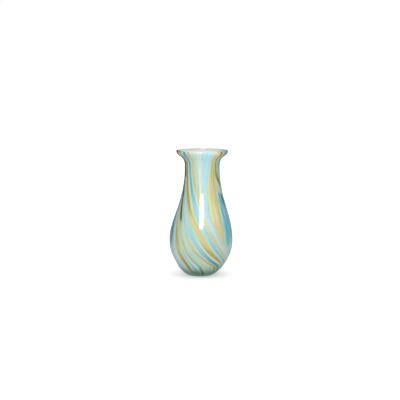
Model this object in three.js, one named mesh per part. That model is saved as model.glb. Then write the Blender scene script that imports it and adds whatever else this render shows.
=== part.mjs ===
// A hand blown art glass vase: three gathers of glass, one inside the other.
//
//   clear_casing   the outer clear gather, with the solid base, the ground foot ring, the polished
//                  pontil hollow and the rounded lip that closes over the ends of the inner layers
//   cane_*         the coloured glass canes, picked up side by side and twisted while soft, each
//                  flattened to a ribbon under the casing
//   opal_lining    the white opal gather that the canes were picked up on, open at the mouth
//
// Millimetres, +Z up. The origin is on the floor, midway under the vase, and -Y is the front.
// Angles round the vase are degrees from the front, positive towards +X.

import * as THREE from 'three';

// ---- driving dimensions -------------------------------------------------------------------------

const HEIGHT = 252;               // floor to the top of the lip
const FOOT_RADIUS = 25;           // outer edge of the flat ground ring
const HEEL = [45.3, 17.5];        // radius and height where the round heel meets the body
const BELLY = [63.8, 69.7];       // widest place of the body
const NECK = [34.7, 219];         // narrowest place
const LIP_RADIUS = 51.5;          // outside of the lip
const LIP_LEAN = 18;              // degrees that the lip leans outwards from upright

// Shape of the wall's curves between those places: how far each curve runs on along its end's direction
const FOOT_EDGE = [6, 0.9];       // from the foot ring, outwards and up
const HEEL_SLOPE = [1.8, 3];      // direction of the wall at the heel
const HEEL_PULL = 4.4;            // how many times that slope the body's curve starts with
const BELLY_PULL_DOWN = 24;
const BELLY_PULL_UP = 49;
const NECK_PULL_DOWN = 71;
const NECK_PULL_UP = 24;
const LIP_PULL = 13;

const CASING_WALL = 1.7;          // clear gather
const CANE_WALL = 0.8;            // flattened canes
const LINING_WALL = 1.5;          // opal gather
const LAYER_GAP = 0.3;            // stands for the fused join between two layers
const WALL = CASING_WALL + CANE_WALL + LINING_WALL + 2 * LAYER_GAP;
const BEAD = WALL / 2;            // radius of the rounded lip

const FLOOR = 7.5;                // height of the bed of the inner layers over the foot ring, on the axis
const FLOOR_REACH = 26;           // how far the bed stays level round the axis
const BED_TURN = 12;              // stiffness of the turn from the floor to the wall
const PONTIL_RADIUS = 13;         // polished hollow inside the foot ring
const PONTIL_DEPTH = 2.2;
const INNER_END = 0.95;           // place on the neck-to-lip curve where the inner layers end
const END_GAP = 0.4;              // between the ends of the inner layers and the lip over them

const LEAN_TOP = 2.3;             // sideways lean of the axis, up the shoulder
const LEAN_FOOT = -1.8;           // and the other way down at the foot
const LEAN_TOP_RISE = [70, 150];  // heights between which the shoulder's lean comes in
const LEAN_FOOT_RISE = [0, 35];   // heights between which the foot's lean goes out

const ROUND_SIDES = 40;           // flats round the vase
const FOOT_STEPS = 4;             // flats up each curve of the wall
const BODY_STEPS = 5;
const SHOULDER_STEPS = 7;
const LIP_STEPS = 7;
const BED_LIP_STEPS = 6;          // and up the bed beside the lip's curve
const BEAD_STEPS = 6;             // flats round the lip's edge
const PONTIL_STEPS = 3;           // flats from the middle of the pontil hollow to its edge
const FLOOR_STEPS = 6;            // flats of the bed from the axis to the wall
const CANE_SAG = 0.17;            // how far the flats of a cane may cut inside its true round
const KEEP_APART = 2;             // least length between a cane's end and its next section
const ROUNDING = 1e-6;            // lengths nearer than this are the same

// Heights where the canes' angles and widths are given
const SHOULDER_Z = 150;
const BELLY_Z = 90;
const LOWER_Z = 50;
const HEEL_Z = 20;
const NECK_Z = 205;
const CANE_FOOT_RADIUS = 10;      // the canes end at this radius, under the floor

// ---- the wall -----------------------------------------------------------------------------------

const vec = (r, z) => new THREE.Vector2(r, z);
const radians = THREE.MathUtils.degToRad;

// The outside of the wall, from the foot ring to the lip, as four cubic curves.
function wallCurves() {
  const lean = radians(LIP_LEAN);
  const beadCentre = vec(LIP_RADIUS - BEAD, HEIGHT - BEAD);
  const lipEnd = beadCentre.clone().add(vec(Math.cos(lean), -Math.sin(lean)).multiplyScalar(BEAD));
  const lipStart = lipEnd.clone().addScaledVector(vec(Math.sin(lean), Math.cos(lean)), -LIP_PULL);
  const foot = vec(FOOT_RADIUS, 0);
  const heel = vec(...HEEL);
  const slope = vec(...HEEL_SLOPE);
  const belly = vec(...BELLY);
  const neck = vec(...NECK);
  const bodyStart = heel.clone().addScaledVector(slope, HEEL_PULL);
  const upright = (point, rise) => vec(point.x, point.y + rise);
  const curve = (...points) => new THREE.CubicBezierCurve(...points);
  return {
    beadCentre,
    foot: curve(foot, foot.clone().add(vec(...FOOT_EDGE)), heel.clone().sub(slope), heel),
    body: curve(heel, bodyStart, upright(belly, -BELLY_PULL_DOWN), belly),
    shoulder: curve(belly, upright(belly, BELLY_PULL_UP), upright(neck, -NECK_PULL_DOWN), neck),
    lip: curve(neck, upright(neck, NECK_PULL_UP), lipStart, lipEnd),
  };
}

const WALL_CURVES = wallCurves();

// One point of a curve with the unit normal that points into the vase.
function station(curve, t) {
  const tangent = curve.getTangent(t);
  return { point: curve.getPoint(t), inward: vec(-tangent.y, tangent.x) };
}

function stations(curve, from, to, steps) {
  return Array.from({ length: steps + 1 }, (_, i) => station(curve, from + ((to - from) * i) / steps));
}

const offset = (list, depth) => list.map((s) => s.point.clone().addScaledVector(s.inward, depth));

// The bed is the inner face of the casing, which the inner layers lie on: level over the clear base,
// then one casing wall inside the outer surface up to the lip.
function bedStations() {
  const wallPart = [
    ...stations(WALL_CURVES.body, 0, 1, BODY_STEPS),
    ...stations(WALL_CURVES.shoulder, 0, 1, SHOULDER_STEPS).slice(1),
    ...stations(WALL_CURVES.lip, 0, INNER_END, BED_LIP_STEPS).slice(1),
  ].map((s) => ({ point: s.point.clone().addScaledVector(s.inward, CASING_WALL), inward: s.inward }));
  const join = wallPart[0];
  const along = vec(join.inward.y, -join.inward.x);
  const turn = join.point.clone().addScaledVector(along, -BED_TURN);
  const floor = new THREE.CubicBezierCurve(vec(0, FLOOR), vec(FLOOR_REACH, FLOOR), turn, join.point);
  const onAxis = { point: vec(0, FLOOR), inward: vec(0, 1) };
  return [onAxis, ...stations(floor, 0, 1, FLOOR_STEPS).slice(1, -1), ...wallPart];
}

const BED = bedStations();

// Length along the bed from the axis to each of its stations.
const BED_LENGTHS = BED.reduce((sums, s, i) => {
  sums.push(i === 0 ? 0 : sums[i - 1] + s.point.distanceTo(BED[i - 1].point));
  return sums;
}, []);
const BED_END = BED_LENGTHS.at(-1);

// The bed at any length from the axis, between its stations.
function bedAt(length) {
  const i = Math.max(1, BED_LENGTHS.findIndex((value) => value >= length - ROUNDING));
  const mix = (length - BED_LENGTHS[i - 1]) / (BED_LENGTHS[i] - BED_LENGTHS[i - 1]);
  return {
    point: BED[i - 1].point.clone().lerp(BED[i].point, mix),
    inward: BED[i - 1].inward.clone().lerp(BED[i].inward, mix).normalize(),
  };
}

function lengthAtHeight(height) {
  const i = BED.findIndex((s) => s.point.y >= height);
  const below = BED[i - 1].point.y;
  const mix = (height - below) / (BED[i].point.y - below);
  return BED_LENGTHS[i - 1] + mix * (BED_LENGTHS[i] - BED_LENGTHS[i - 1]);
}

// The sideways lean of a hand made axis: every layer is moved by the same amount at the same height.
function lean(z) {
  const top = THREE.MathUtils.smoothstep(z, ...LEAN_TOP_RISE);
  const foot = 1 - THREE.MathUtils.smoothstep(z, ...LEAN_FOOT_RISE);
  return LEAN_TOP * top + LEAN_FOOT * foot;
}

function place(radius, z, degrees) {
  const turn = radians(degrees);
  return new THREE.Vector3(lean(z) + radius * Math.sin(turn), -radius * Math.cos(turn), z);
}

// ---- turned layers ------------------------------------------------------------------------------

// A profile that starts and ends on the axis, turned round it and then leaned.
function turned(profile) {
  const geometry = new THREE.LatheGeometry(profile, ROUND_SIDES);
  geometry.rotateX(Math.PI / 2);
  const position = geometry.attributes.position;
  for (let i = 0; i < position.count; i += 1) {
    position.setX(i, position.getX(i) + lean(position.getZ(i)));
  }
  geometry.computeVertexNormals();
  return geometry;
}

function pontilHollow() {
  return Array.from({ length: PONTIL_STEPS + 1 }, (_, i) => {
    const share = i / PONTIL_STEPS;
    return vec(PONTIL_RADIUS * share, PONTIL_DEPTH * (1 - share * share));
  });
}

function lipBead() {
  const outerEnd = radians(-LIP_LEAN);
  return Array.from({ length: BEAD_STEPS - 1 }, (_, i) => {
    const turn = outerEnd + (Math.PI * (i + 1)) / BEAD_STEPS;
    return WALL_CURVES.beadCentre.clone().add(vec(Math.cos(turn), Math.sin(turn)).multiplyScalar(BEAD));
  });
}

function clearCasing() {
  const outside = [
    ...stations(WALL_CURVES.foot, 0, 1, FOOT_STEPS),
    ...stations(WALL_CURVES.body, 0, 1, BODY_STEPS).slice(1),
    ...stations(WALL_CURVES.shoulder, 0, 1, SHOULDER_STEPS).slice(1),
    ...stations(WALL_CURVES.lip, 0, 1, LIP_STEPS).slice(1),
  ];
  const mouth = stations(WALL_CURVES.lip, INNER_END, 1, 1).reverse();
  return turned([
    ...pontilHollow(),
    ...offset(outside, 0),
    ...lipBead(),
    ...offset(mouth, WALL),
    ...offset(BED, 0).reverse(),
  ]);
}

function opalLining() {
  const last = bedAt(BED_END - END_GAP);
  const layer = [...BED.slice(0, -1), last];
  const outer = LAYER_GAP * 2 + CANE_WALL;
  return turned([...offset(layer, outer), ...offset(layer, outer + LINING_WALL).reverse()]);
}

// ---- canes --------------------------------------------------------------------------------------

const FOOT = CANE_FOOT_RADIUS;
const HEEL_AT = lengthAtHeight(HEEL_Z);
const LOWER = lengthAtHeight(LOWER_Z);
const WAIST = lengthAtHeight(BELLY_Z);
const SHOULDER = lengthAtHeight(SHOULDER_Z);
const NECK_AT = lengthAtHeight(NECK_Z);
const LIP = BED_END - END_GAP;
const up = lengthAtHeight;

// Smooth value between the given keys, each [length, value], in rising order of length.
function between(keys, length) {
  const last = keys.length - 1;
  const passed = keys.filter((key) => key[0] <= length).length;
  const i = Math.min(last - 1, Math.max(0, passed - 1));
  const slope = (a, b) => (keys[b][1] - keys[a][1]) / (keys[b][0] - keys[a][0]);
  const span = keys[i + 1][0] - keys[i][0];
  const startSlope = slope(Math.max(0, i - 1), i + 1);
  const endSlope = slope(i, Math.min(last, i + 2));
  const t = Math.min(1, Math.max(0, (length - keys[i][0]) / span));
  const rise = keys[i + 1][1] - keys[i][1];
  const blend = t * t * (3 - 2 * t);
  return keys[i][1] + rise * blend
    + span * t * (1 - t) * (startSlope * (1 - t) - endSlope * t);
}

// The widest turn in degrees that one flat may span at this radius.
const flatSpan = (radius) => THREE.MathUtils.radToDeg(2 * Math.acos(1 - CANE_SAG / radius));

// The lengths where a cane has a section: its ends, the bed's stations, and between them as many more
// as its twist needs.
function sectionLengths(angles) {
  const start = angles[0][0];
  const end = angles.at(-1)[0];
  const inside = BED_LENGTHS.filter((length) => length > start + KEEP_APART && length < end - KEEP_APART);
  const lengths = [start, ...inside, end];
  return lengths.flatMap((length, i) => {
    if (i === 0) return [length];
    const before = lengths[i - 1];
    const twist = Math.abs(between(angles, length) - between(angles, before));
    const steps = Math.ceil(twist / flatSpan(bedAt(length).point.x));
    return Array.from({ length: steps }, (_, k) => before + ((length - before) * (k + 1)) / steps);
  });
}

// A cane is a ribbon on the bed. Each key is [length along the bed, angle, width in degrees].
function caneGeometry(keys) {
  const angles = keys.map(([length, angle]) => [length, angle]);
  const widths = keys.map(([length, , width]) => [length, width]);
  const lengths = sectionLengths(angles);
  const flatsAt = ([length, , width]) => Math.ceil(width / flatSpan(bedAt(length).point.x));
  const flats = Math.max(...keys.map(flatsAt));
  const ring = 2 * (flats + 1);
  const corners = [];
  for (const length of lengths) {
    const bed = bedAt(length);
    const angle = between(angles, length);
    const width = between(widths, length);
    for (const [depth, direction] of [[LAYER_GAP, 1], [LAYER_GAP + CANE_WALL, -1]]) {
      const at = bed.point.clone().addScaledVector(bed.inward, depth);
      for (let i = 0; i <= flats; i += 1) {
        corners.push(place(at.x, at.y, angle + direction * (i / flats - 0.5) * width));
      }
    }
  }
  const faces = [];
  for (let s = 0; s + 1 < lengths.length; s += 1) {
    for (let i = 0; i < ring; i += 1) {
      const a = s * ring + i;
      const b = s * ring + ((i + 1) % ring);
      const across = corners[a].distanceTo(corners[b + ring]);
      const otherWay = corners[b].distanceTo(corners[a + ring]);
      if (across < otherWay) {
        faces.push(a, b, b + ring, a, b + ring, a + ring);
      } else {
        faces.push(a, b, a + ring, b, b + ring, a + ring);
      }
    }
  }
  const far = (lengths.length - 1) * ring;
  for (let i = 0; i < flats; i += 1) {
    const j = ring - 1 - i;
    faces.push(i, j, i + 1, i + 1, j, j - 1);
    faces.push(far + i, far + i + 1, far + j, far + i + 1, far + j - 1, far + j);
  }
  const geometry = new THREE.BufferGeometry().setFromPoints(corners);
  geometry.setIndex(faces);
  geometry.computeVertexNormals();
  return geometry;
}

// Keys for a cane that runs the whole way: angle and width at the foot, heel, lower body, belly,
// shoulder, neck and lip.
function fullLength(...pairs) {
  return [FOOT, HEEL_AT, LOWER, WAIST, SHOULDER, NECK_AT, LIP].map((at, i) => [at, ...pairs[i]]);
}

const COLOURS = {
  amber: 0xc8b273,
  blue: 0x4f97c4,
  aqua: 0x86c9cf,
  lavender: 0xc3cbe2,
  mint: 0xb4d6bf,
  green: 0x4c6a52,
  olive: 0x8d8b45,
  moss: 0x4a4a28,
  teal: 0x3f777a,
};

const CANES = {
  cane_blue_1: fullLength([99, 11], [75, 9], [35.5, 9], [10, 7], [-20.5, 12], [-45, 8.5], [-46, 11]),
  cane_blue_2: [[FOOT, 68, 13], [HEEL_AT, 50, 13], [up(35), 23, 11], [LOWER, 6, 10], [WAIST, -22, 9],
    [up(120), -38, 9], [SHOULDER, -52.5, 8], [up(185), -65, 3]],
  cane_blue_3: [[up(56), 61, 4], [up(70), 60, 14], [WAIST, 61.5, 23], [up(112), 62, 25], [up(130), 61, 21],
    [SHOULDER, 58, 14], [up(165), 58, 9], [up(176), 59, 3]],
  cane_blue_4: fullLength([228, 12], [214, 10], [184, 12], [164, 14], [145, 13], [123, 12], [122, 12]),
  cane_blue_5: fullLength([312, 9], [297.5, 7], [280, 11], [269, 14], [251, 14], [229, 12], [222, 9]),
  cane_blue_6: fullLength([324, 9], [307, 7], [293.5, 6], [288.5, 12], [274, 9], [248, 9], [234, 8]),
  cane_blue_7: [[FOOT, 4, 6], [HEEL_AT, -15.5, 8], [up(35), -28, 5], [LOWER, -33.5, 4], [up(66), -38, 2]],
  cane_amber_1: fullLength([84, 13], [63, 11], [22, 13], [-3, 15], [-38, 12.5], [-61.5, 11], [-61, 12]),
  cane_amber_2: [[FOOT, 114, 9], [HEEL_AT, 86, 8], [LOWER, 44.5, 6], [WAIST, 17.5, 5], [up(120), 4.5, 6],
    [SHOULDER, -9, 8], [NECK_AT, -30.5, 11], [LIP, -34, 9]],
  cane_amber_3: [[FOOT, 50, 9], [HEEL_AT, 37, 8], [up(35), 11, 8], [LOWER, -5.5, 7.5], [up(65), -16.5, 6],
    [up(80), -25.5, 4.5], [up(97), -34, 2]],
  cane_amber_4: fullLength([352, 13], [329, 9], [315, 12], [308.5, 9.5], [286, 7], [263, 8], [250, 8]),
  cane_amber_5: [[up(62), 50.5, 3], [up(75), 43.5, 9], [WAIST, 39.5, 16], [up(120), 33, 25],
    [SHOULDER, 32, 31], [up(180), 33.5, 27], [NECK_AT, 34.5, 22], [up(225), 38, 14], [LIP, 38.5, 12]],
  cane_amber_6: fullLength([204, 12], [190, 10], [160, 12], [142, 14], [127, 13], [104, 12], [104, 12]),
  cane_amber_7: fullLength([247, 8], [233, 6], [203, 8], [181, 8], [162, 8], [138, 7], [137, 5]),
  cane_amber_8: fullLength([266, 12], [258, 9], [232, 13], [216, 19], [197, 21], [176, 20], [176, 19]),
  cane_aqua_1: [[up(45), 57, 4], [up(60), 45, 7.5], [up(75), 33.5, 7], [WAIST, 26, 8], [up(120), 14, 10],
    [SHOULDER, 9.5, 11], [NECK_AT, 9, 17], [up(225), 15, 27], [LIP, 16, 28]],
  cane_aqua_2: fullLength([177, 14], [164, 12], [134, 14], [116, 16], [106, 18], [80, 18], [70, 24]),
  cane_aqua_3: fullLength([284, 10], [276, 8], [251, 10], [238, 12], [219, 12], [199, 12], [199, 12]),
  cane_lavender_1: [[up(165), -3, 3], [NECK_AT, -7, 13], [LIP, -8, 15]],
  cane_lavender_2: [[up(64), 212, 3], [WAIST, 197, 8], [SHOULDER, 178, 10], [NECK_AT, 154, 14],
    [LIP, 154, 14]],
  cane_lavender_3: [[FOOT, 338, 7], [HEEL_AT, 318.5, 6], [up(35), 310, 5], [LOWER, 304, 5],
    [up(70), 301.5, 5], [up(100), 297.5, 4], [up(116), 292, 2]],
  cane_mint_1: [[up(165), -8.5, 3], [NECK_AT, -19, 8], [LIP, -22, 11]],
  cane_mint_2: [[FOOT, 34, 12], [HEEL_AT, 20, 14], [up(35), -3, 13], [LOWER, -15, 8], [up(65), -22.5, 5],
    [up(80), -30.5, 4], [up(96), -37.5, 2]],
  cane_green_1: [[FOOT, 16, 14], [HEEL_AT, 1, 9], [up(35), -15.5, 5], [LOWER, -25.5, 4], [up(65), -32, 4.5],
    [WAIST, -41.5, 6], [up(112), -48, 8], [up(120), -51.5, 9], [SHOULDER, -64.5, 9], [up(175), -73.5, 12],
    [NECK_AT, -84, 9], [LIP, -96, 6]],
  cane_green_2: fullLength([298, 6], [288, 5], [264, 4], [252, 5], [233, 5], [213, 5], [211, 4]),
  cane_olive_1: [[FOOT, 155, 12], [HEEL_AT, 140, 9], [LOWER, 112, 8], [WAIST, 98, 9], [SHOULDER, 89, 9],
    [up(170), 82, 9], [up(183), 72.5, 12], [up(194), 63.5, 17], [NECK_AT, 55.5, 15], [up(218), 51.5, 9],
    [LIP, 50, 9]],
  cane_moss_1: [[up(192), -69.5, 3], [NECK_AT, -73, 10], [up(225), -77, 10], [LIP, -79, 20]],
  cane_teal_1: [[up(123), 78, 2.5], [up(136), 75.5, 7], [SHOULDER, 72, 12], [up(160), 70, 11],
    [up(172), 67, 3]],
};

// ---- assembly -----------------------------------------------------------------------------------

function piece(name, geometry, colour, extra = {}) {
  const material = new THREE.MeshStandardMaterial({ color: colour, roughness: 0.06, metalness: 0, ...extra });
  const mesh = new THREE.Mesh(geometry, material);
  mesh.name = name;
  return mesh;
}

const vase = new THREE.Group();
vase.add(piece('clear_casing', clearCasing(), 0xdfe9ea, { transparent: true, opacity: 0.3 }));
vase.add(piece('opal_lining', opalLining(), 0xf3f3ec, { roughness: 0.15 }));
for (const [name, keys] of Object.entries(CANES)) {
  vase.add(piece(name, caneGeometry(keys), COLOURS[name.split('_')[1]]));
}

export default vase;
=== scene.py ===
"""Looks of the hand blown cased glass vase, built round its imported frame.

Metres in the frame, +Z up, -Y is the front. The vase is blown in three gathers, and each is a smooth
mesh of its own here: the white opal lining, the twisted coloured canes that lie on it, and the clear
casing, whose glass reaches in between them. Wall sizes below are millimetres, as they are measured on
such a vase, and place() turns them into metres.
"""

import math

import bpy
import numpy as np
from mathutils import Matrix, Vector


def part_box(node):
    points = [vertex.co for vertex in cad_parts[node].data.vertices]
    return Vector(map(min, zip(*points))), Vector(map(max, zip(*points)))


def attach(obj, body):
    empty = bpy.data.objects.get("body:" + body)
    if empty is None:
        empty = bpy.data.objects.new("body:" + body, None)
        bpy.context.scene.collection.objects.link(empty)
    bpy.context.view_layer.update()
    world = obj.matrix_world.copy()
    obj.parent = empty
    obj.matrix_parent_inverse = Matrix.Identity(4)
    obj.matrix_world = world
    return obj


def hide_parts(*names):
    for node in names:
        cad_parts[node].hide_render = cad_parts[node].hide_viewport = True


MM = 0.001

# ---- camera --------------------------------------------------------------------------------------

EYE = Vector((0.0, -2.2, 0.44))
AIM = Vector((0.0, 0.0, 0.125))
FOCAL_LENGTH = 99.4      # millimetres, as the sensor's width
SENSOR_WIDTH = 36.0
SHIFT_ACROSS = -0.0026   # of the lens, in shares of the sensor's width
SHIFT_UP = 0.0326
CLIP_NEAR = 0.05
CLIP_FAR = 60.0


def make_camera():
    data = bpy.data.cameras.new("camera")
    data.lens = FOCAL_LENGTH
    data.sensor_width = SENSOR_WIDTH
    data.shift_x = SHIFT_ACROSS
    data.shift_y = SHIFT_UP
    data.clip_start = CLIP_NEAR
    data.clip_end = CLIP_FAR
    camera = bpy.data.objects.new("camera", data)
    camera.location = EYE
    camera.rotation_euler = (AIM - EYE).to_track_quat("-Z", "Y").to_euler()
    bpy.context.scene.collection.objects.link(camera)
    bpy.context.scene.camera = camera


make_camera()
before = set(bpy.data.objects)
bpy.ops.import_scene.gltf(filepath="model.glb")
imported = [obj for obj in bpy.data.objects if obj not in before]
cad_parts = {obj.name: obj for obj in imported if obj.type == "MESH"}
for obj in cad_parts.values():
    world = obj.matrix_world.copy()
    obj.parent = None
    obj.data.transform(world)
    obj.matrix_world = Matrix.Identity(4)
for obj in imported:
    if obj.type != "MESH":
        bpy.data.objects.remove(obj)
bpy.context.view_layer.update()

# ---- driving dimensions, millimetres -------------------------------------------------------------

CASING_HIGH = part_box("clear_casing")[1]
HEIGHT = round(CASING_HIGH.z / MM)
BELLY = (CASING_HIGH.x / MM, 69.7)   # radius and height of the widest place
FOOT_RADIUS = 25.0
HEEL = (45.3, 17.5)
NECK = (34.7, 219.0)
LIP_RADIUS = 51.5
LIP_LEAN = math.radians(18)

FOOT_EDGE = (6.0, 0.9)   # how far each curve of the wall runs on along its end's direction
HEEL_SLOPE = (1.8, 3.0)
HEEL_PULL = 4.4
BELLY_PULL_DOWN = 24.0
BELLY_PULL_UP = 49.0
NECK_PULL_DOWN = 71.0
NECK_PULL_UP = 24.0
LIP_PULL = 13.0

CASING_WALL = 1.7
THREAD = 5.0             # a cane no wider than this at an end, in degrees, is drawn out to a point there
CUT_END = 1.2            # length over which a cut cane rounds off
DRAWN_END = 16.0         # and a drawn one thins out
CANE_SINK = 0.75         # the canes' tops lie this much deeper than the casing wall
EDGE_SINK = 0.08         # their edges this far under the lining's surface
BASE_SINK = 0.05         # and their undersides this much further
CANE_STEP = 1.1          # length from one section of a cane to the next
CANE_COLUMNS = 14
TIP_WIDTH_SQUARED = 0.0004   # what is left of a cane at its very end, so that it stays a closed solid
TIP_CROWN = 0.001
LINING_DEPTH = 3.1       # from the outer surface to the lining
WALL = 4.6
SKIN = 0.05              # clear glass over the lining's edge inside the lip
BEAD = WALL / 2
FLOOR = 7.5
FLOOR_REACH = 26.0
BED_TURN = 12.0
PONTIL_RADIUS = 13.0
PONTIL_DEPTH = 2.2
RIM_RUN = 1.9            # how far the inner layers run on into the rounded lip
RIM_STEPS = 12
SKIN_END = 0.95          # the clear skin inside the lip comes down to here on the neck-to-lip curve
FLAT_EDGE = 0.6          # a ring of points this far inside the foot's edge keeps the foot ring flat

LEAN_TOP = 2.3           # how far the neck and the foot stand to the side of the belly
LEAN_FOOT = -1.8
LEAN_TOP_SPAN = (70, 150)    # the heights between which the wall goes over to them
LEAN_FOOT_SPAN = (0, 35)
OVAL = 0.22              # the wall's unevenness: two waves round it, and three
OVAL_RISE = 45           # the height in which each turns by a radian
THREE_SIDED = 0.15
THREE_SIDED_RISE = 60
EVEN_INSIDE = (28, 40)   # it fades out inwards between these radii, so the foot ring is true
EVEN_ABOVE = 235         # and from this height up to the lip

PONTIL_STEPS = 14        # points along each curve of the casing
FOOT_STEPS = 24
BODY_STEPS = 48
SHOULDER_STEPS = 90
LIP_STEPS = 60
BEAD_STEPS = 16
MOUTH_STEPS = 8
BED_STEPS = 50           # and along each of the bed's, but for the shoulder and the rim
BED_SHOULDER_STEPS = 110
SIDES = 200              # flats round the vase

LIP_ALONG = np.array([math.sin(LIP_LEAN), math.cos(LIP_LEAN)])

# ---- the wall ------------------------------------------------------------------------------------
# A station is a row (radius, height, inward radius, inward height): a point and its inward normal.


def cubic(a, b, c, d, t):
    """Stations at t, from 0 to 1, of the curve from a to d that b and c pull."""
    a, b, c, d = (np.array(p, float) for p in (a, b, c, d))
    t = np.asarray(t, float)[:, None]
    point = (1 - t) ** 3 * a + 3 * (1 - t) ** 2 * t * b + 3 * (1 - t) * t**2 * c + t**3 * d
    run = (1 - t) ** 2 * (b - a) + 2 * (1 - t) * t * (c - b) + t**2 * (d - c)
    run /= np.linalg.norm(run, axis=1)[:, None]
    return np.column_stack([point, -run[:, 1], run[:, 0]])


def beyond(point, along, pull=1.0):
    return (point[0] + along[0] * pull, point[1] + along[1] * pull)


def foot_curve(t):
    foot = (FOOT_RADIUS, 0.0)
    return cubic(foot, beyond(foot, FOOT_EDGE), beyond(HEEL, HEEL_SLOPE, -1.0), HEEL, t)


def body_curve(t):
    start = beyond(HEEL, HEEL_SLOPE, HEEL_PULL)
    return cubic(HEEL, start, (BELLY[0], BELLY[1] - BELLY_PULL_DOWN), BELLY, t)


def shoulder_curve(t):
    start = (BELLY[0], BELLY[1] + BELLY_PULL_UP)
    return cubic(BELLY, start, (NECK[0], NECK[1] - NECK_PULL_DOWN), NECK, t)


def bead_centre():
    return np.array([LIP_RADIUS - BEAD, HEIGHT - BEAD])


def lip_curve(t):
    end = bead_centre() + BEAD * np.array([math.cos(LIP_LEAN), -math.sin(LIP_LEAN)])
    start = (NECK[0], NECK[1] + NECK_PULL_UP)
    return cubic(NECK, start, end - LIP_PULL * LIP_ALONG, end, t)


def bed_stations():
    """The bed of the inner layers: level over the clear base, then one casing wall inside the vase."""
    wall = np.concatenate([
        body_curve(np.linspace(0, 1, BED_STEPS)),
        shoulder_curve(np.linspace(0, 1, BED_SHOULDER_STEPS)[1:]),
        lip_curve(np.linspace(0, 1, BED_STEPS)[1:]),
    ])
    rim = np.repeat(wall[-1:], RIM_STEPS, axis=0)
    rim[:, :2] += np.linspace(0, RIM_RUN, RIM_STEPS + 1)[1:, None] * LIP_ALONG
    wall = np.concatenate([wall, rim])
    wall[:, :2] += CASING_WALL * wall[:, 2:]
    join = wall[0]
    along = np.array([join[3], -join[2]])
    floor = cubic((0, FLOOR), (FLOOR_REACH, FLOOR), join[:2] - BED_TURN * along, join[:2],
                  np.linspace(0, 1, BED_STEPS))
    return np.concatenate([floor[:-1], wall])


BED = bed_stations()
BED_LENGTHS = np.concatenate([[0], np.cumsum(np.linalg.norm(np.diff(BED[:, :2], axis=0), axis=1))])


def bed_at(lengths):
    """Stations of the bed at these lengths along it."""
    rows = np.stack([np.interp(lengths, BED_LENGTHS, BED[:, k]) for k in range(4)], axis=-1)
    rows[..., 2:] /= np.linalg.norm(rows[..., 2:], axis=-1, keepdims=True)
    return rows


def up(height):
    """Length along the bed, from the axis, at a height on the wall."""
    return float(np.interp(height, BED[:, 1], BED_LENGTHS))


def deeper(rows, depth):
    return rows[..., :2] + np.asarray(depth)[..., None] * rows[..., 2:]


def smoothstep(value, low, high):
    t = np.clip((value - low) / (high - low), 0, 1)
    return t * t * (3 - 2 * t)


def place(radius, z, degrees):
    """Points in metres, with the lean and the slight unevenness of a hand made vase."""
    lean = LEAN_TOP * smoothstep(z, *LEAN_TOP_SPAN) + LEAN_FOOT * (1 - smoothstep(z, *LEAN_FOOT_SPAN))
    turn = np.radians(degrees)
    oval = OVAL * np.sin(2 * turn + z / OVAL_RISE)
    uneven = oval + THREE_SIDED * np.sin(3 * turn - z / THREE_SIDED_RISE + 1)
    radius = radius + uneven * smoothstep(radius, *EVEN_INSIDE) * (1 - smoothstep(z, EVEN_ABOVE, HEIGHT))
    return np.stack([lean + radius * np.sin(turn), -radius * np.cos(turn), z + 0 * turn], axis=-1) * MM


# ---- the canes -----------------------------------------------------------------------------------
# Each key is a length along the bed, and there an angle from the front and a width, both in degrees. A
# fourth value is how deep the colour is, from 0, drawn out pale, to 1, or more where the glass lies thick;
# at the lip's corners a depth above 1 is painted shade. It is MIDDLE_DEPTH where it isn't given.

MIDDLE_DEPTH = 0.5
FOOT = 10.0              # the canes end this far from the axis, under the floor
HEEL_AT = up(20)
LOWER = up(50)
WAIST = up(90)
SHOULDER = up(150)
NECK_AT = up(205)
END_GAP = 0.4
LIP = BED_LENGTHS[-1] - END_GAP


def full_length(*pairs):
    """Keys of a cane that runs the whole way, from the foot to the lip."""
    places = (FOOT, HEEL_AT, LOWER, WAIST, SHOULDER, NECK_AT, LIP)
    return [(at, *pair) for at, pair in zip(places, pairs)]


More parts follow.
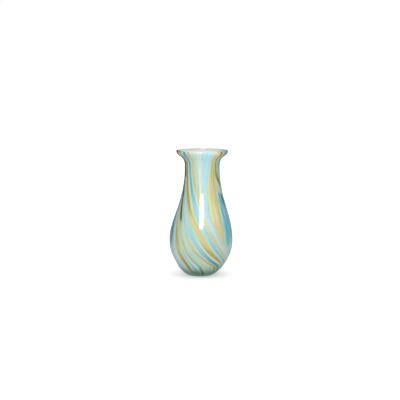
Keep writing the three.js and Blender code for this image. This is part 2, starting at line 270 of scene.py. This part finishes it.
CANES = {
    "cane_blue_1": full_length((99, 11, 0.7), (75, 9, 0.8), (35.5, 9, 0.5), (10, 7, 0.3), (-20.5, 12, 0.35),
        (-45, 8.5, 0.75), (-46, 11, 0.9)),
    "cane_blue_2": [(FOOT, 68, 13, 0.7), (HEEL_AT, 50, 13, 0.9), (up(35), 23, 11, 0.9), (LOWER, 6, 10, 0.6),
        (WAIST, -22, 9, 0.3), (up(120), -38, 9, 0.25), (SHOULDER, -52.5, 8, 0.3), (up(185), -65, 3, 0.5)],
    "cane_blue_3": [(up(56), 61, 4, 0.5), (up(70), 60, 14, 0.55), (WAIST, 61.5, 23, 0.45),
        (up(112), 62, 25, 0.45), (up(130), 61, 21, 0.55), (SHOULDER, 58, 14, 0.7), (up(165), 58, 9, 0.8),
        (up(176), 59, 3, 0.8)],
    "cane_blue_4": full_length((228, 12), (214, 10, 0.8), (184, 12), (164, 14, 0.3), (145, 13, 0.3),
        (123, 12, 0.6), (122, 12)),
    "cane_blue_5": full_length((312, 9), (297.5, 7, 0.7), (280, 11, 0.6), (269, 14, 0.7), (251, 14, 0.4),
        (229, 12), (222, 9)),
    "cane_blue_6": full_length((324, 9, 0.3), (307, 7, 0.3), (293.5, 6, 0.4), (288.5, 12, 0.9),
        (274, 9, 0.6), (248, 9), (234, 8)),
    "cane_blue_7": [(FOOT, 4, 6), (HEEL_AT, -15.5, 8, 0.6), (up(35), -28, 5, 0.5), (LOWER, -33.5, 4),
        (up(66), -38, 2)],
    "cane_amber_1": full_length((84, 13, 0.6), (63, 11, 0.8), (22, 13, 0.7), (-3, 15, 0.35),
        (-38, 12.5, 0.65), (-61.5, 11, 0.9), (-61, 12, 0.9)),
    "cane_amber_2": [(FOOT, 114, 9), (HEEL_AT, 86, 8), (LOWER, 44.5, 6, 0.6), (WAIST, 17.5, 5, 0.2),
        (up(120), 4.5, 6, 0.2), (SHOULDER, -9, 8, 0.4), (NECK_AT, -30.5, 11, 0.6), (LIP, -34, 9, 0.6)],
    "cane_amber_3": [(FOOT, 50, 9, 0.7), (HEEL_AT, 37, 8, 0.9), (up(35), 11, 8, 0.7), (LOWER, -5.5, 7.5),
        (up(65), -16.5, 6, 0.4), (up(80), -25.5, 4.5, 0.3), (up(97), -34, 2, 0.3)],
    "cane_amber_4": full_length((352, 13, 1.0), (329, 9, 1.25), (315, 12, 0.7), (308.5, 9.5, 0.6),
        (286, 7, 0.6), (263, 8), (250, 8)),
    "cane_amber_5": [(up(62), 50.5, 3), (up(75), 43.5, 9, 0.3), (WAIST, 39.5, 16, 0.3),
        (up(120), 33, 25, 0.4), (SHOULDER, 32, 31, 0.5), (up(180), 33.5, 27, 0.6),
        (NECK_AT, 34.5, 22, 0.65), (up(225), 38, 14, 0.6), (LIP, 38.5, 12, 0.5)],
    "cane_amber_6": full_length((204, 12), (190, 10, 0.8), (160, 12), (142, 14, 0.4), (127, 13, 0.4),
        (104, 12, 0.6), (104, 12)),
    "cane_amber_7": full_length((247, 8), (233, 6, 0.8), (203, 8), (181, 8, 0.4), (162, 8, 0.3), (138, 7),
        (137, 5)),
    "cane_amber_8": full_length((266, 12), (258, 9, 0.8), (232, 13, 0.6), (216, 19, 0.4), (197, 21, 0.4),
        (176, 20, 0.6), (176, 19)),
    "cane_aqua_1": [(up(45), 57, 4, 0.3), (up(60), 45, 7.5, 0.2), (up(75), 33.5, 7, 0.2),
        (WAIST, 26, 8, 0.3), (up(120), 14, 10, 0.4), (SHOULDER, 9.5, 11), (NECK_AT, 9, 17, 0.7),
        (up(225), 15, 27, 0.7), (LIP, 16, 28, 0.6)],
    # Its depth of 1.4 at the lip is painted shade: it paints the lip's dark right corner.
    "cane_aqua_2": full_length((177, 14), (164, 12), (134, 14), (116, 16, 0.3), (106, 18, 0.3), (80, 18),
        (70, 24, 1.4)),
    "cane_aqua_3": full_length((284, 10), (276, 8), (251, 10), (238, 12, 0.3), (219, 12), (199, 12),
        (199, 12, 0.7)),
    "cane_lavender_1": [(up(165), -3, 3, 0.3), (NECK_AT, -7, 13), (LIP, -8, 15)],
    "cane_lavender_2": [(up(64), 212, 3), (WAIST, 197, 8), (SHOULDER, 178, 10), (NECK_AT, 154, 14),
        (LIP, 154, 14)],
    "cane_lavender_3": [(FOOT, 338, 7), (HEEL_AT, 318.5, 6), (up(35), 310, 5), (LOWER, 304, 5),
        (up(70), 301.5, 5), (up(100), 297.5, 4), (up(116), 292, 2)],
    "cane_mint_1": [(up(165), -8.5, 3), (NECK_AT, -19, 8), (LIP, -22, 11)],
    "cane_mint_2": [(FOOT, 34, 12, 0.8), (HEEL_AT, 20, 14, 0.7), (up(35), -3, 13), (LOWER, -15, 8),
        (up(65), -22.5, 5, 0.4), (up(80), -30.5, 4, 0.3), (up(96), -37.5, 2, 0.3)],
    "cane_green_1": [(FOOT, 16, 14, 0.6), (HEEL_AT, 1, 9, 0.55), (up(35), -15.5, 5, 0.7),
        (LOWER, -25.5, 4, 0.7), (up(65), -32, 4.5, 0.4), (WAIST, -41.5, 6, 0.1), (up(112), -48, 8, 0.2),
        (up(120), -51.5, 9, 0.8), (SHOULDER, -64.5, 9, 0.9), (up(175), -73.5, 12, 1.0),
        (NECK_AT, -84, 9, 1.0), (LIP, -96, 6, 1.0)],
    "cane_green_2": full_length((298, 6), (288, 5), (264, 4), (252, 5), (233, 5), (213, 5), (211, 4)),
    "cane_olive_1": [(FOOT, 155, 12), (HEEL_AT, 140, 9), (LOWER, 112, 8), (WAIST, 98, 9), (SHOULDER, 89, 9),
        (up(170), 82, 9, 0.7), (up(183), 72.5, 12, 0.8), (up(194), 63.5, 17, 0.9), (NECK_AT, 55.5, 15, 0.8),
        (up(218), 51.5, 9, 0.7), (LIP, 50, 9, 0.9)],
    # A near black cane by the left edge of the neck, partly painted shade: its darkness and its depth of
    # 1.6 at the lip paint the dark line at the glass's edge and the lip's dark left corner.
    "cane_moss_1": [(up(192), -69.5, 3), (NECK_AT, -73, 10, 1.0), (up(225), -77, 10, 1.0),
        (LIP, -79, 20, 1.6)],
    "cane_teal_1": [(up(123), 78, 2.5), (up(136), 75.5, 7), (SHOULDER, 72, 12, 0.8), (up(160), 70, 11, 0.8),
        (up(172), 67, 3)],
}


def eased(keys, column, at):
    """A column of the keys at these lengths: a smooth curve that passes through every key."""
    x = np.array([key[0] for key in keys])
    y = np.array([key[column] if column < len(key) else MIDDLE_DEPTH for key in keys], float)
    before = np.maximum(np.arange(len(x)) - 1, 0)
    after = np.minimum(np.arange(len(x)) + 1, len(x) - 1)
    slopes = (y[after] - y[before]) / (x[after] - x[before])
    i = np.clip(np.searchsorted(x, at, side="right") - 1, 0, len(x) - 2)
    span = x[i + 1] - x[i]
    t = np.clip((at - x[i]) / span, 0, 1)
    blend = t * t * (3 - 2 * t)
    ends = slopes[i] * (1 - t) - slopes[i + 1] * t
    return y[i] + (y[i + 1] - y[i]) * blend + span * t * (1 - t) * ends


def swirl_of(lengths, degrees):
    """Where a point of the wall lies among the twisted canes, as a direction round a unit circle."""
    guides = [keys for keys in CANES.values() if keys[0][0] == FOOT and keys[-1][0] == LIP]
    inside = np.clip(lengths, FOOT, LIP)
    angles = np.array([eased(keys, 1, inside) for keys in guides])
    order = np.argsort(angles[:, -1] % 360)
    angles = angles[order]
    angles -= 360 * np.floor((angles[:, -1:] - angles[:1, -1:]) / 360)
    turn = np.empty((len(lengths), len(degrees)))
    share = np.arange(len(guides) + 1) / len(guides)
    for row, track in enumerate(angles.T):
        ring = np.append(track, track[0] + 360)
        turn[row] = np.interp((degrees - ring[0]) % 360 + ring[0], ring, share)
    return np.cos(2 * np.pi * turn), np.sin(2 * np.pi * turn)


# ---- meshes --------------------------------------------------------------------------------------

GRAIN_ALONG = 100        # millimetres to one unit of the patterns, along the bed and across a cane
GRAIN_ACROSS = 10


def new_piece(name, points, faces, material, **attributes):
    """A smooth shaded mesh object; each attribute is a vector per point that its material reads."""
    mesh = bpy.data.meshes.new(name)
    mesh.from_pydata(points.reshape(-1, 3).tolist(), [], faces)
    mesh.shade_smooth()
    for key, vectors in attributes.items():
        attribute = mesh.attributes.new(key, "FLOAT_VECTOR", "POINT")
        attribute.data.foreach_set("vector", np.ascontiguousarray(vectors, np.float32).ravel())
    mesh.materials.append(material)
    mesh.validate()
    piece = bpy.data.objects.new(name, mesh)
    bpy.context.scene.collection.objects.link(piece)
    return piece


def turned(name, profile, lengths, stained, material):
    """A profile from axis to axis, turned. For the material: lengths are its places along the bed, and
    stained is 1 where the colours lie on it."""
    degrees = np.arange(SIDES) * 360 / SIDES
    ring = place(profile[1:-1, :1], profile[1:-1, 1:], degrees[None, :])
    first = place(profile[:1, :1], profile[:1, 1:], degrees[None, :1])
    last = place(profile[-1:, :1], profile[-1:, 1:], degrees[None, :1])
    points = np.concatenate([first.reshape(-1, 3), ring.reshape(-1, 3), last.reshape(-1, 3)])
    rows = len(profile) - 2
    faces = []
    for j in range(SIDES):
        k = (j + 1) % SIDES
        faces.append((0, 1 + k, 1 + j))
        for i in range(rows - 1):
            a = 1 + i * SIDES
            b = a + SIDES
            faces.append((a + j, a + k, b + k, b + j))
        top = 1 + (rows - 1) * SIDES
        faces.append((top + j, top + k, 1 + rows * SIDES))
    cos, sin = swirl_of(lengths[1:-1], degrees)
    along = np.repeat(lengths[1:-1, None], SIDES, axis=1) / GRAIN_ALONG
    middle = np.stack([cos, sin, along], axis=-1).reshape(-1, 3)
    ends = np.array([[0, 0, lengths[0] / GRAIN_ALONG], [0, 0, lengths[-1] / GRAIN_ALONG]])
    grain = np.concatenate([ends[:1], middle, ends[1:]])
    stain = np.concatenate([stained[:1], np.repeat(stained[1:-1], SIDES), stained[-1:]])
    return new_piece(name, points, faces, material, grain=grain, stain=np.repeat(stain[:, None], 3, axis=1))


def casing_piece(material):
    """Outside, lip bead and the inside of the lip; below it the glass ends within the lining."""
    hollow = np.linspace(0, 1, PONTIL_STEPS)
    pontil = np.column_stack([PONTIL_RADIUS * hollow, PONTIL_DEPTH * (1 - hollow**2)])
    outside = np.concatenate([
        foot_curve(np.linspace(0, 1, FOOT_STEPS)),
        body_curve(np.linspace(0, 1, BODY_STEPS)[1:]),
        shoulder_curve(np.linspace(0, 1, SHOULDER_STEPS)[1:]),
        lip_curve(np.linspace(0, 1, LIP_STEPS)[1:]),
    ])[:, :2]
    turn = -LIP_LEAN + np.pi * np.arange(1, BEAD_STEPS) / BEAD_STEPS
    bead = bead_centre() + BEAD * np.column_stack([np.cos(turn), np.sin(turn)])
    mouth = lip_curve(np.linspace(1, SKIN_END, MOUTH_STEPS))
    mouth = deeper(mouth, np.full(len(mouth), WALL + SKIN))
    under = BED[BED[:, 1] < mouth[-1, 1] - WALL / 4]
    buried = deeper(under, np.full(len(under), (LINING_DEPTH + WALL) / 2 - CASING_WALL))[::-1]
    ring = np.array([[FOOT_RADIUS - FLAT_EDGE, 0.0]])
    profile = np.concatenate([pontil, ring, outside, bead, mouth, buried])
    profile[-1, 0] = 0
    lengths = np.interp(profile[:, 1], BED[:, 1], BED_LENGTHS)
    return turned("casing_glass", profile, lengths, np.zeros(len(profile)), material)


def lining_piece(material):
    """The opal cup, with a rounded edge inside the clear lip."""
    outer = np.full(len(BED), LINING_DEPTH - CASING_WALL)
    into_rim = np.clip(BED_LENGTHS - (BED_LENGTHS[-1] - RIM_RUN), 0, None)
    inner = BEAD - CASING_WALL + np.sqrt(BEAD**2 - into_rim**2)
    left = BED_LENGTHS[-1] - BED_LENGTHS
    rounding = (WALL - LINING_DEPTH) / 2
    closing = np.sqrt(np.clip(1 - np.clip(1 - left / rounding, 0, 1) ** 2, 0, 1))
    middle = (outer + inner) / 2
    half = (inner - outer) / 2 * closing
    outer = middle - half
    inner = middle + half - SKIN * (into_rim > 0)
    profile = np.concatenate([deeper(BED, outer), deeper(BED, inner)[-2::-1]])
    profile[0, 0] = profile[-1, 0] = 0
    lengths = np.concatenate([BED_LENGTHS, BED_LENGTHS[-2::-1]])
    stained = np.concatenate([np.ones(len(BED)), np.zeros(len(BED) - 1)])
    return turned("lining_glass", profile, lengths, stained, material)


def cane_piece(node, keys, material, seed):
    """A cane melted flat: round on top, thin at its edges, and sunk a little into the lining."""
    start = keys[0][0]
    end = keys[-1][0]
    lengths = np.linspace(start, end, int((end - start) / CANE_STEP) + 2)
    across = np.linspace(-1, 1, CANE_COLUMNS + 1)
    angle = eased(keys, 1, lengths)
    width = eased(keys, 2, lengths)
    from_start = (lengths - start) / (CUT_END if width[0] > THREAD else DRAWN_END)
    from_end = (end - lengths) / (CUT_END if width[-1] > THREAD else DRAWN_END)
    tip = np.clip(np.minimum(from_start, from_end), 0, 1)
    width = width * np.sqrt(np.clip(1 - (1 - tip) ** 2, TIP_WIDTH_SQUARED, 1))
    crown = (1 - np.abs(across) ** 3)[None, :] * np.sqrt(np.clip(tip, TIP_CROWN, 1))[:, None]
    bottom = LINING_DEPTH - CASING_WALL + EDGE_SINK
    depth = bottom - (bottom - CANE_SINK) * crown
    rows = bed_at(lengths)
    top = deeper(rows[:, None, :].repeat(CANE_COLUMNS + 1, 1), depth)
    base = deeper(rows, np.full(len(rows), bottom + BASE_SINK))
    base = base[:, None, :].repeat(CANE_COLUMNS - 1, 1)
    section = np.concatenate([top, base], axis=1)
    sides = np.concatenate([across, across[-2:0:-1]])
    points = place(section[..., 0], section[..., 1], angle[:, None] + sides[None, :] * width[:, None] / 2)
    ring = len(sides)
    faces = []
    for i in range(len(lengths) - 1):
        for j in range(ring):
            k = (j + 1) % ring
            faces.append((i * ring + j, i * ring + k, (i + 1) * ring + k, (i + 1) * ring + j))
    faces.append(tuple(range(ring))[::-1])
    faces.append(tuple((len(lengths) - 1) * ring + j for j in range(ring)))
    half = rows[:, 0] * np.radians(width) / 2
    grain = np.empty((len(lengths), ring, 3))
    grain[..., 0] = half[:, None] * sides[None, :] / GRAIN_ACROSS
    grain[..., 1] = lengths[:, None] / GRAIN_ALONG
    grain[..., 2] = seed
    edge = np.empty((len(lengths), ring, 3))
    edge[..., 0] = sides[None, :]
    edge[..., 1] = tip[:, None]
    edge[..., 2] = eased(keys, 3, lengths)[:, None]
    return new_piece(node + "_ribbon", points, faces, material,
                     grain=grain.reshape(-1, 3), edge=edge.reshape(-1, 3))


# ---- materials -----------------------------------------------------------------------------------
# Colours are sRGB, 0 to 255, as they look on the finished vase. Each cane glass has the shade where it
# lies thickest, a deep, a middle and a pale shade along its streaks, and a blush that shows in patches.

CANE_SHADES = {
    "amber": ((118, 96, 42), (160, 142, 64), (202, 186, 112), (216, 210, 160), (216, 168, 120)),
    "blue": ((30, 92, 132), (58, 146, 192), (98, 184, 216), (162, 218, 228), (108, 184, 198)),
    # The thickest aqua shade is partly painted shade: it paints the lip's dark right corner.
    "aqua": ((78, 118, 150), (122, 202, 222), (156, 220, 232), (188, 230, 230), (176, 210, 232)),
    "lavender": ((120, 140, 170), (180, 206, 232), (200, 222, 232), (216, 230, 232), (220, 214, 224)),
    "mint": ((84, 140, 110), (130, 190, 160), (170, 218, 194), (200, 232, 212), (204, 212, 150)),
    "green": ((26, 44, 34), (50, 82, 64), (104, 142, 110), (172, 196, 164), (128, 140, 72)),
    "olive": ((104, 82, 30), (120, 116, 44), (162, 158, 74), (192, 188, 116), (180, 130, 66)),
    # The moss shades are near black partly as painted shade, for the dark edge of the neck and the lip's
    # dark left corner.
    "moss": ((16, 16, 10), (44, 42, 24), (66, 64, 36), (98, 98, 56), (92, 72, 44)),
    "teal": ((12, 70, 82), (24, 98, 110), (44, 126, 136), (92, 162, 170), (52, 116, 112)),
}
OPAL = (0.93, 0.93, 0.925, 1.0)
OPAL_TINTS = [(0.28, (134, 200, 200)), (0.40, (170, 218, 202)), (0.50, (196, 220, 206)),
              (0.60, (208, 212, 166)), (0.72, (156, 202, 170))]
MELT = (176, 214, 196)            # where a cane's edge melts into the opal
# Tint and painted shade: the bottom turns a darker green, partly from the foot's thicker glass and partly
# as painted shade near the floor.
BASE_TINT_AND_SHADE = (126, 162, 134)
BASE_TINT_AND_SHADE_FADE = (0.28, 0.57)     # between these lengths along the bed, in tenths of a metre
LET_OUT = 0.384                   # share of a matt layer's light that clear glass over it lets out
THROWN_BACK = 0.6                 # share that it throws back on the layer
GLASS_IOR = 1.5

# Patterns: how far each is squeezed along the axes of its vector, its scale, and how fine it goes.
STREAKS = {"squeeze": (1.5, 0.55, 5.0), "scale": 1.9, "detail": 3.0, "rough": 0.6}
PATCHES = {"squeeze": (0.9, 1.3, 9.0), "shift": (3, 7, 1), "scale": 2.1, "detail": 1.5}
EDGE_WANDER = {"squeeze": (0.3, 3.0, 3.0), "scale": 1.5, "detail": 2.0}
DRAWN_TINTS = {"squeeze": (12.0, 12.0, 0.6), "scale": 1.5, "detail": 2.5}
SURFACE_WAVES = {"squeeze": (1, 1, 0.4), "scale": 30.0, "detail": 1.0}

SHADE_PLACES = (0.0, 0.30, 0.48, 0.70)    # of the thickest, deep, middle and pale shades on the ramp
DEPTH_SHIFT = 0.55                # how far the colour's depth moves the streaks along the ramp
BLUSH_RANGE = (0.53, 0.73)        # the patches that blush
WANDER_REACH = 0.5                # how far a cane's edge strays, as a share of its half width
EDGE_FADE = (0.62, 1.05)          # where the edge melts away, in half widths from the middle
TIP_FADE = (0.0, 0.8)
MELT_SHARE = 0.85
WAVE_HEIGHT = {"Strength": 0.035, "Distance": 0.002}


def linear(colour):
    """An sRGB colour, 0 to 255, as the linear colour that shaders use."""
    shares = np.array(colour, float) / 255
    return (*np.where(shares <= 0.04045, shares / 12.92, ((shares + 0.055) / 1.055) ** 2.4), 1.0)


def under_glass(colour):
    """The matt colour that looks like this sRGB colour through the clear glass over it: the glass lets
    part of the light out and throws the rest back, so colours under it look deeper."""
    seen = np.array(linear(colour))
    return (*(seen / (LET_OUT + THROWN_BACK * seen))[:3], 1.0)


class Nodes:
    """A node tree with short calls for the few nodes used here."""

    def __init__(self, owner):
        owner.use_nodes = True
        self.tree = owner.node_tree
        self.tree.nodes.clear()

    def add(self, kind, inputs=(), **settings):
        node = self.tree.nodes.new(kind)
        for key, value in settings.items():
            setattr(node, key, value)
        for key, value in dict(inputs).items():
            if isinstance(value, bpy.types.NodeSocket):
                self.tree.links.new(value, node.inputs[key])
            else:
                node.inputs[key].default_value = value
        return node

    def calc(self, operation, a, b=0.0):
        return self.add("ShaderNodeMath", {0: a, 1: b}, operation=operation).outputs[0]

    def smooth(self, value, low, high):
        """0 below low, 1 above high, and a smooth step between."""
        return self.add("ShaderNodeMapRange", {"Value": value, "From Min": low, "From Max": high},
                        interpolation_type="SMOOTHSTEP").outputs[0]

    def pattern(self, vector, squeeze, scale, detail, rough=0.5, shift=(0, 0, 0)):
        """Soft noise over a vector that is squeezed and shifted first."""
        mapping = {"Vector": vector, "Scale": squeeze, "Location": shift}
        moved = self.add("ShaderNodeMapping", mapping).outputs[0]
        inputs = {"Vector": moved, "Scale": scale, "Detail": detail, "Roughness": rough}
        return self.add("ShaderNodeTexNoise", inputs).outputs[0]

    def attribute(self, name):
        vector = self.add("ShaderNodeAttribute", attribute_name=name).outputs["Vector"]
        return vector, self.add("ShaderNodeSeparateXYZ", {0: vector}).outputs

    def ramp(self, value, stops):
        """Colours seen through the casing, at their places on a ramp."""
        node = self.add("ShaderNodeValToRGB", {0: value})
        elements = node.color_ramp.elements
        while len(elements) < len(stops):
            elements.new(0.5)
        for element, (at, colour) in zip(elements, stops):
            element.position = at
            element.color = under_glass(colour)
        return node.outputs[0]

    def blend(self, share, a, b, mode="MIX"):
        node = self.add("ShaderNodeMix", data_type="RGBA", blend_type=mode)
        for socket, value in ((node.inputs[0], share), (node.inputs[6], a), (node.inputs[7], b)):
            if isinstance(value, bpy.types.NodeSocket):
                self.tree.links.new(value, socket)
            else:
                socket.default_value = value
        return node.outputs[2]

    def mirrored(self, path):
        """1 for rays that the glass mirrors, 0 for all others."""
        straight = self.calc("SUBTRACT", 1.0, path.outputs["Is Transmission Ray"])
        return self.calc("MULTIPLY", path.outputs["Is Glossy Ray"], straight)

    def output(self, shader, kind="ShaderNodeOutputMaterial"):
        self.tree.links.new(shader, self.add(kind).inputs["Surface"])


def new_material(name):
    material = bpy.data.materials.new(name)
    return material, Nodes(material)


def base_tint_and_shade(nodes, colour, along):
    """The foot's thicker glass lies over the bottom of the swirl and turns it a deeper green. The
    same darkening is also painted shade, for the light that hardly reaches the bottom near the floor.
    """
    share = nodes.calc("SUBTRACT", 1.0, nodes.smooth(along, *BASE_TINT_AND_SHADE_FADE))
    return nodes.blend(share, colour, linear(BASE_TINT_AND_SHADE), mode="MULTIPLY")


def cane_material(name, thickest, deep, mid, pale, blush):
    """Coloured glass over opal: deep and pale streaks run along the cane, and its edges melt away."""
    material, nodes = new_material(name)
    grain, (_, along, _) = nodes.attribute("grain")
    _, (across, tip, depth) = nodes.attribute("edge")
    streaks = nodes.pattern(grain, **STREAKS)
    shift = nodes.calc("MULTIPLY", nodes.calc("SUBTRACT", MIDDLE_DEPTH, depth), DEPTH_SHIFT)
    stops = list(zip(SHADE_PLACES, (thickest, deep, mid, pale)))
    colour = nodes.ramp(nodes.calc("ADD", streaks, shift), stops)
    patches = nodes.pattern(grain, **PATCHES)
    colour = nodes.blend(nodes.smooth(patches, *BLUSH_RANGE), colour, under_glass(blush))
    wander = nodes.pattern(grain, **EDGE_WANDER)
    wander = nodes.calc("MULTIPLY", nodes.calc("SUBTRACT", wander, 0.5), WANDER_REACH)
    rim = nodes.calc("ADD", nodes.calc("ABSOLUTE", across), wander)
    fade = nodes.smooth(rim, *EDGE_FADE)
    fade = nodes.calc("MAXIMUM", fade, nodes.calc("SUBTRACT", 1.0, nodes.smooth(tip, *TIP_FADE)))
    colour = nodes.blend(nodes.calc("MULTIPLY", fade, MELT_SHARE), colour, under_glass(MELT))
    colour = base_tint_and_shade(nodes, colour, along)
    shader = nodes.add("ShaderNodeBsdfPrincipled", {"Base Color": colour, "Roughness": 0.3,
                                                    "IOR": GLASS_IOR, "Specular IOR Level": 0.0})
    nodes.output(shader.outputs[0])
    return material


def opal_material():
    """White opal, stained outside by the tints that the colours left in it, drawn out along the swirl."""
    material, nodes = new_material("opal")
    grain, (_, _, along) = nodes.attribute("grain")
    _, (stain, _, _) = nodes.attribute("stain")
    colour = nodes.ramp(nodes.pattern(grain, **DRAWN_TINTS), OPAL_TINTS)
    colour = base_tint_and_shade(nodes, colour, along)
    colour = nodes.blend(stain, OPAL, colour)
    shader = nodes.add("ShaderNodeBsdfPrincipled", {"Base Color": colour, "Roughness": 0.12,
                                                    "IOR": GLASS_IOR})
    nodes.output(shader.outputs[0])
    return material


def casing_material():
    """Clear glass with the faint waves of a hand blown surface; lamps reach the colours under it."""
    material, nodes = new_material("casing")
    waves = nodes.pattern(nodes.add("ShaderNodeTexCoord").outputs["Object"], **SURFACE_WAVES)
    bump = nodes.add("ShaderNodeBump", {"Height": waves, **WAVE_HEIGHT}).outputs[0]
    glass = nodes.add("ShaderNodeBsdfPrincipled", {"Base Color": (0.985, 1.0, 0.995, 1), "Roughness": 0.015,
                                                   "IOR": GLASS_IOR, "Transmission Weight": 1.0,
                                                   "Normal": bump})
    clear = nodes.add("ShaderNodeBsdfTransparent", {"Color": (0.97, 0.985, 0.98, 1)})
    path = nodes.add("ShaderNodeLightPath").outputs["Is Shadow Ray"]
    shader = nodes.add("ShaderNodeMixShader", {0: path, 1: glass.outputs[0], 2: clear.outputs[0]})
    nodes.output(shader.outputs[0])
    return material


# ---- stage and light -----------------------------------------------------------------------------

TABLE_SIDE = (0.12, 0.5)          # where the lit table top ends at both sides and behind, metres
TABLE_BACK = (-0.05, 0.30)
TABLE_FRONT = (0.20, 0.9)         # where the brighter table in front begins
MIRRORED_TABLE = 0.62             # how bright the table under the vase is in the glass
MIRRORED_FADE = (0.0, 0.80)       # the distances between which that fades
MIRRORED_LOW = 0.05               # and this is how bright the far floor and the low walls are there
MIRRORED_RISE = (0.0, 0.35)       # and how far up, as a share of the dome, they stay so
UNLIT_TABLE = (0.06, 0.06, 0.06, 1)   # colours of the floor, for the light it throws and as it is shown
LIT_TABLE = (0.88, 0.88, 0.88, 1)
SHOWN_FLOOR = (0.86, 0.86, 0.86, 1)
TABLE_GLOW = 0.32                 # light of the table itself, what the front adds, and of the shown floor
FRONT_GLOW = 2.1
SHOWN_GLOW = 0.42
FLOOR_HALF = 14.0                 # metres from the vase to the floor's edges

# Parts of a direction, from -1 to 1, between which a light or dark grows. LOW_WALLS, LEFT_FLAG, FRONT,
# LAMP_RIGHT and LAMP_TOP are measured on the axis turned round.
LOW_WALLS = (-0.75, -0.25)
LEFT_FLAG = (0.02, 0.30)
RIGHT_FLAG = (0.10, 0.45)
FRONT = (-0.4, 0.7)
TOP = (0.45, 0.85)
LAMP_RIGHT = (-0.108, -0.093)
LAMP_LEFT = (-0.158, -0.143)
LAMP_BOTTOM = (0.305, 0.345)
LAMP_TOP = (-0.70, -0.66)
SOFT_LIGHT = 0.46                 # brightness all round, what the front and the top add
SOFT_FRONT = 0.19
SOFT_TOP = 0.75
LEFT_FLAG_DARK = 0.46             # and what the flags take away
RIGHT_FLAG_DARK = 0.39
LAMP_LIGHT = 16.0


def floor_piece():
    """A flat white floor. It looks white everywhere and lights the vase most from the front. Mirrored in
    the glass it fades from the vase outwards to the dark of the studio's low walls, so no horizon shows."""
    material, nodes = new_material("floor")
    place_of = nodes.add("ShaderNodeNewGeometry").outputs["Position"]
    x, y, _ = nodes.add("ShaderNodeSeparateXYZ", {0: place_of}).outputs
    aside = nodes.smooth(nodes.calc("ABSOLUTE", x), *TABLE_SIDE)
    near = nodes.calc("MULTIPLY", nodes.calc("SUBTRACT", 1.0, aside),
                     nodes.calc("SUBTRACT", 1.0, nodes.smooth(y, *TABLE_BACK)))
    far = nodes.smooth(nodes.calc("MULTIPLY", y, -1.0), *TABLE_FRONT)
    table = nodes.blend(nodes.calc("MAXIMUM", near, far), UNLIT_TABLE, LIT_TABLE)
    glow = nodes.calc("ADD", TABLE_GLOW, nodes.calc("MULTIPLY", far, FRONT_GLOW))
    thrown = nodes.add("ShaderNodeBsdfPrincipled", {"Base Color": table, "Roughness": 0.9,
                                                    "Specular IOR Level": 0.0, "Emission Color": table,
                                                    "Emission Strength": glow})
    shown = nodes.add("ShaderNodeBsdfPrincipled", {"Base Color": SHOWN_FLOOR, "Roughness": 0.9,
                                                   "Specular IOR Level": 0.0,
                                                   "Emission Color": (1, 1, 1, 1),
                                                   "Emission Strength": SHOWN_GLOW})
    away = nodes.add("ShaderNodeVectorMath", {0: place_of}, operation="LENGTH").outputs["Value"]
    beside = nodes.calc("SUBTRACT", 1.0, nodes.smooth(away, *MIRRORED_FADE))
    beside = nodes.calc("MULTIPLY", beside, MIRRORED_TABLE)
    dark = nodes.add("ShaderNodeEmission", {"Strength": nodes.calc("MAXIMUM", beside, MIRRORED_LOW)})
    path = nodes.add("ShaderNodeLightPath")
    either = nodes.add("ShaderNodeMixShader", {0: nodes.mirrored(path), 1: thrown.outputs[0],
                                               2: dark.outputs[0]})
    both = nodes.add("ShaderNodeMixShader", {0: path.outputs["Is Camera Ray"], 1: either.outputs[0],
                                             2: shown.outputs[0]})
    nodes.output(both.outputs[0])
    corners = np.array([(-1, -1, 0), (1, -1, 0), (1, 1, 0), (-1, 1, 0)]) * FLOOR_HALF
    return new_piece("floor", corners, [(0, 1, 2, 3)], material)


def make_world():
    """A white studio: a bright front and top, black flags at both sides, a tall lamp in front."""
    world = bpy.data.worlds.new("studio")
    bpy.context.scene.world = world
    nodes = Nodes(world)
    direction = nodes.add("ShaderNodeTexCoord").outputs["Generated"]
    x, y, z = nodes.add("ShaderNodeSeparateXYZ", {0: direction}).outputs

    def minus(value):
        return nodes.calc("MULTIPLY", value, -1.0)

    def times(*values):
        total = values[0]
        for value in values[1:]:
            total = nodes.calc("MULTIPLY", total, value)
        return total

    low = nodes.smooth(minus(z), *LOW_WALLS)
    flag_left = times(nodes.smooth(minus(x), *LEFT_FLAG), low)
    flag_right = times(nodes.smooth(x, *RIGHT_FLAG), low)
    front = nodes.smooth(minus(y), *FRONT)
    lamp = times(nodes.smooth(minus(x), *LAMP_RIGHT), nodes.smooth(x, *LAMP_LEFT),
                 nodes.smooth(z, *LAMP_BOTTOM), nodes.smooth(minus(z), *LAMP_TOP), front)
    soft = nodes.calc("ADD", SOFT_LIGHT, times(front, SOFT_FRONT))
    soft = nodes.calc("ADD", soft, times(nodes.smooth(z, *TOP), SOFT_TOP))
    soft = nodes.calc("SUBTRACT", soft, times(flag_left, LEFT_FLAG_DARK))
    soft = nodes.calc("SUBTRACT", soft, times(flag_right, RIGHT_FLAG_DARK))
    path = nodes.add("ShaderNodeLightPath")
    hidden = times(nodes.mirrored(path), nodes.calc("SUBTRACT", 1.0, nodes.smooth(z, *MIRRORED_RISE)))
    soft = nodes.calc("MAXIMUM", times(soft, nodes.calc("SUBTRACT", 1.0, hidden)), MIRRORED_LOW)
    shine = nodes.calc("ADD", soft, times(lamp, path.outputs["Is Glossy Ray"], LAMP_LIGHT))
    strength = nodes.add("ShaderNodeMix", {0: path.outputs["Is Camera Ray"], 2: shine, 3: 1.0},
                         data_type="FLOAT").outputs[0]
    light = nodes.add("ShaderNodeBackground", {"Color": (1, 1, 1, 1), "Strength": strength})
    nodes.output(light.outputs[0], "ShaderNodeOutputWorld")


# ---- assembly ------------------------------------------------------------------------------------


def dress(piece, node):
    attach(piece, "root")
    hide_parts(node)


def build():
    dress(casing_piece(casing_material()), "clear_casing")
    dress(lining_piece(opal_material()), "opal_lining")
    finishes = {name: cane_material(name, *shades) for name, shades in CANE_SHADES.items()}
    for seed, (node, keys) in enumerate(CANES.items()):
        shade = node.split("_")[1]
        dress(cane_piece(node, keys, finishes[shade], seed), node)
    floor_piece()
    make_world()
    bpy.context.scene.view_settings.view_transform = "Standard"


build()
